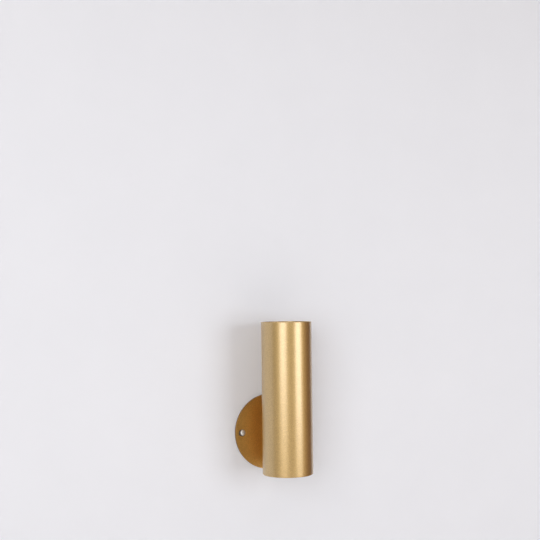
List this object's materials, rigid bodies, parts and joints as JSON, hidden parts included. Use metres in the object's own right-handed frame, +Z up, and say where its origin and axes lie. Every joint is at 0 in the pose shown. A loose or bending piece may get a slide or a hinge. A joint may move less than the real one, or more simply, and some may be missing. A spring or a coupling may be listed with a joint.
{
  "type": "wall vase",
  "caption": "Slim open cylinder vase held on a short arm in front of a round plate that is screwed flat to a wall.",
  "frame": {"origin": "centre of the wall plate's back face, on the wall's surface", "axes": "+Z up along the vase, +Y into the wall, +X to the right seen from the front"},
  "size_m": [0.092, 0.1145, 0.181],
  "materials": {
    "gold_satin": "satin metallic gold coat with a fine grain",
    "gold_plate": "satin metallic gold coat with a fine grain",
    "zinc_screw": "bright zinc-plated steel",
    "plug_nylon": "moulded grey nylon",
    "washer_nylon": "moulded off-white nylon",
    "black_steel": "blackened steel"
  },
  "bodies": {
    "wall_side": {"wall_plate": "gold_plate", "wall_screw_left": "zinc_screw", "wall_screw_right": "zinc_screw", "wall_plug_left": "plug_nylon", "wall_plug_right": "plug_nylon", "friction_washer": "washer_nylon"},
    "vase_side": {"vase_tube": "gold_satin", "vase_base": "gold_satin", "arm": "gold_satin", "arm_screw": "black_steel"}
  },
  "joints": [
    {"name": "vase_swivel", "type": "hinge", "parent": "wall_side", "child": "vase_side", "pos_m": [0, 0, 0], "axis": [0, 1, 0], "continuous": true}
  ]
}
